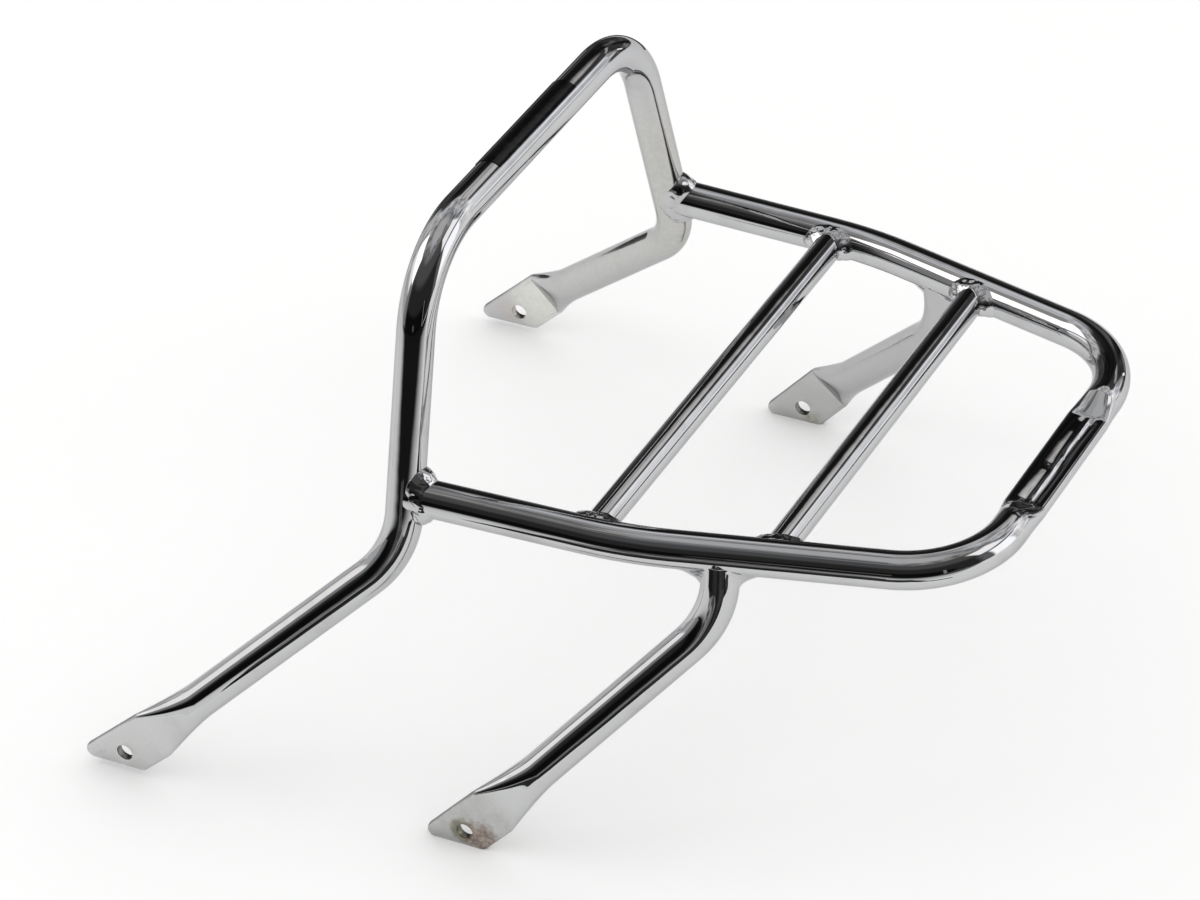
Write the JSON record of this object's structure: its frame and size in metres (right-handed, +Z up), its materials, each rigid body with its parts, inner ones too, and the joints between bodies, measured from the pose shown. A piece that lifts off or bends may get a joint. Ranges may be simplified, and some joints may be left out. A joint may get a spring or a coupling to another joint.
{
  "type": "motorcycle luggage rack",
  "caption": "Chromed steel-tube luggage rack: a tall backrest hoop, a tapering U-shaped platform with cross bars, and splayed legs with flattened, drilled feet that bolt to a motorcycle's tail.",
  "frame": {"origin": "on the mid-plane, on the common axis of the two front bolt holes", "axes": "+X to the rear of the motorcycle, +Y to the rider's right, +Z up"},
  "size_m": [0.4269, 0.409, 0.2793],
  "materials": {
    "chrome": "bright chrome plate over steel tube, a little milky on the flattened feet",
    "label": "plain black gloss strip"
  },
  "bodies": {
    "root": {"hoop_tube": "chrome", "platform_tube": "chrome", "front_cross_bar": "chrome", "rear_cross_bar": "chrome", "left_rear_leg": "chrome", "right_rear_leg": "chrome", "label_strip": "label"}
  },
  "joints": []
}
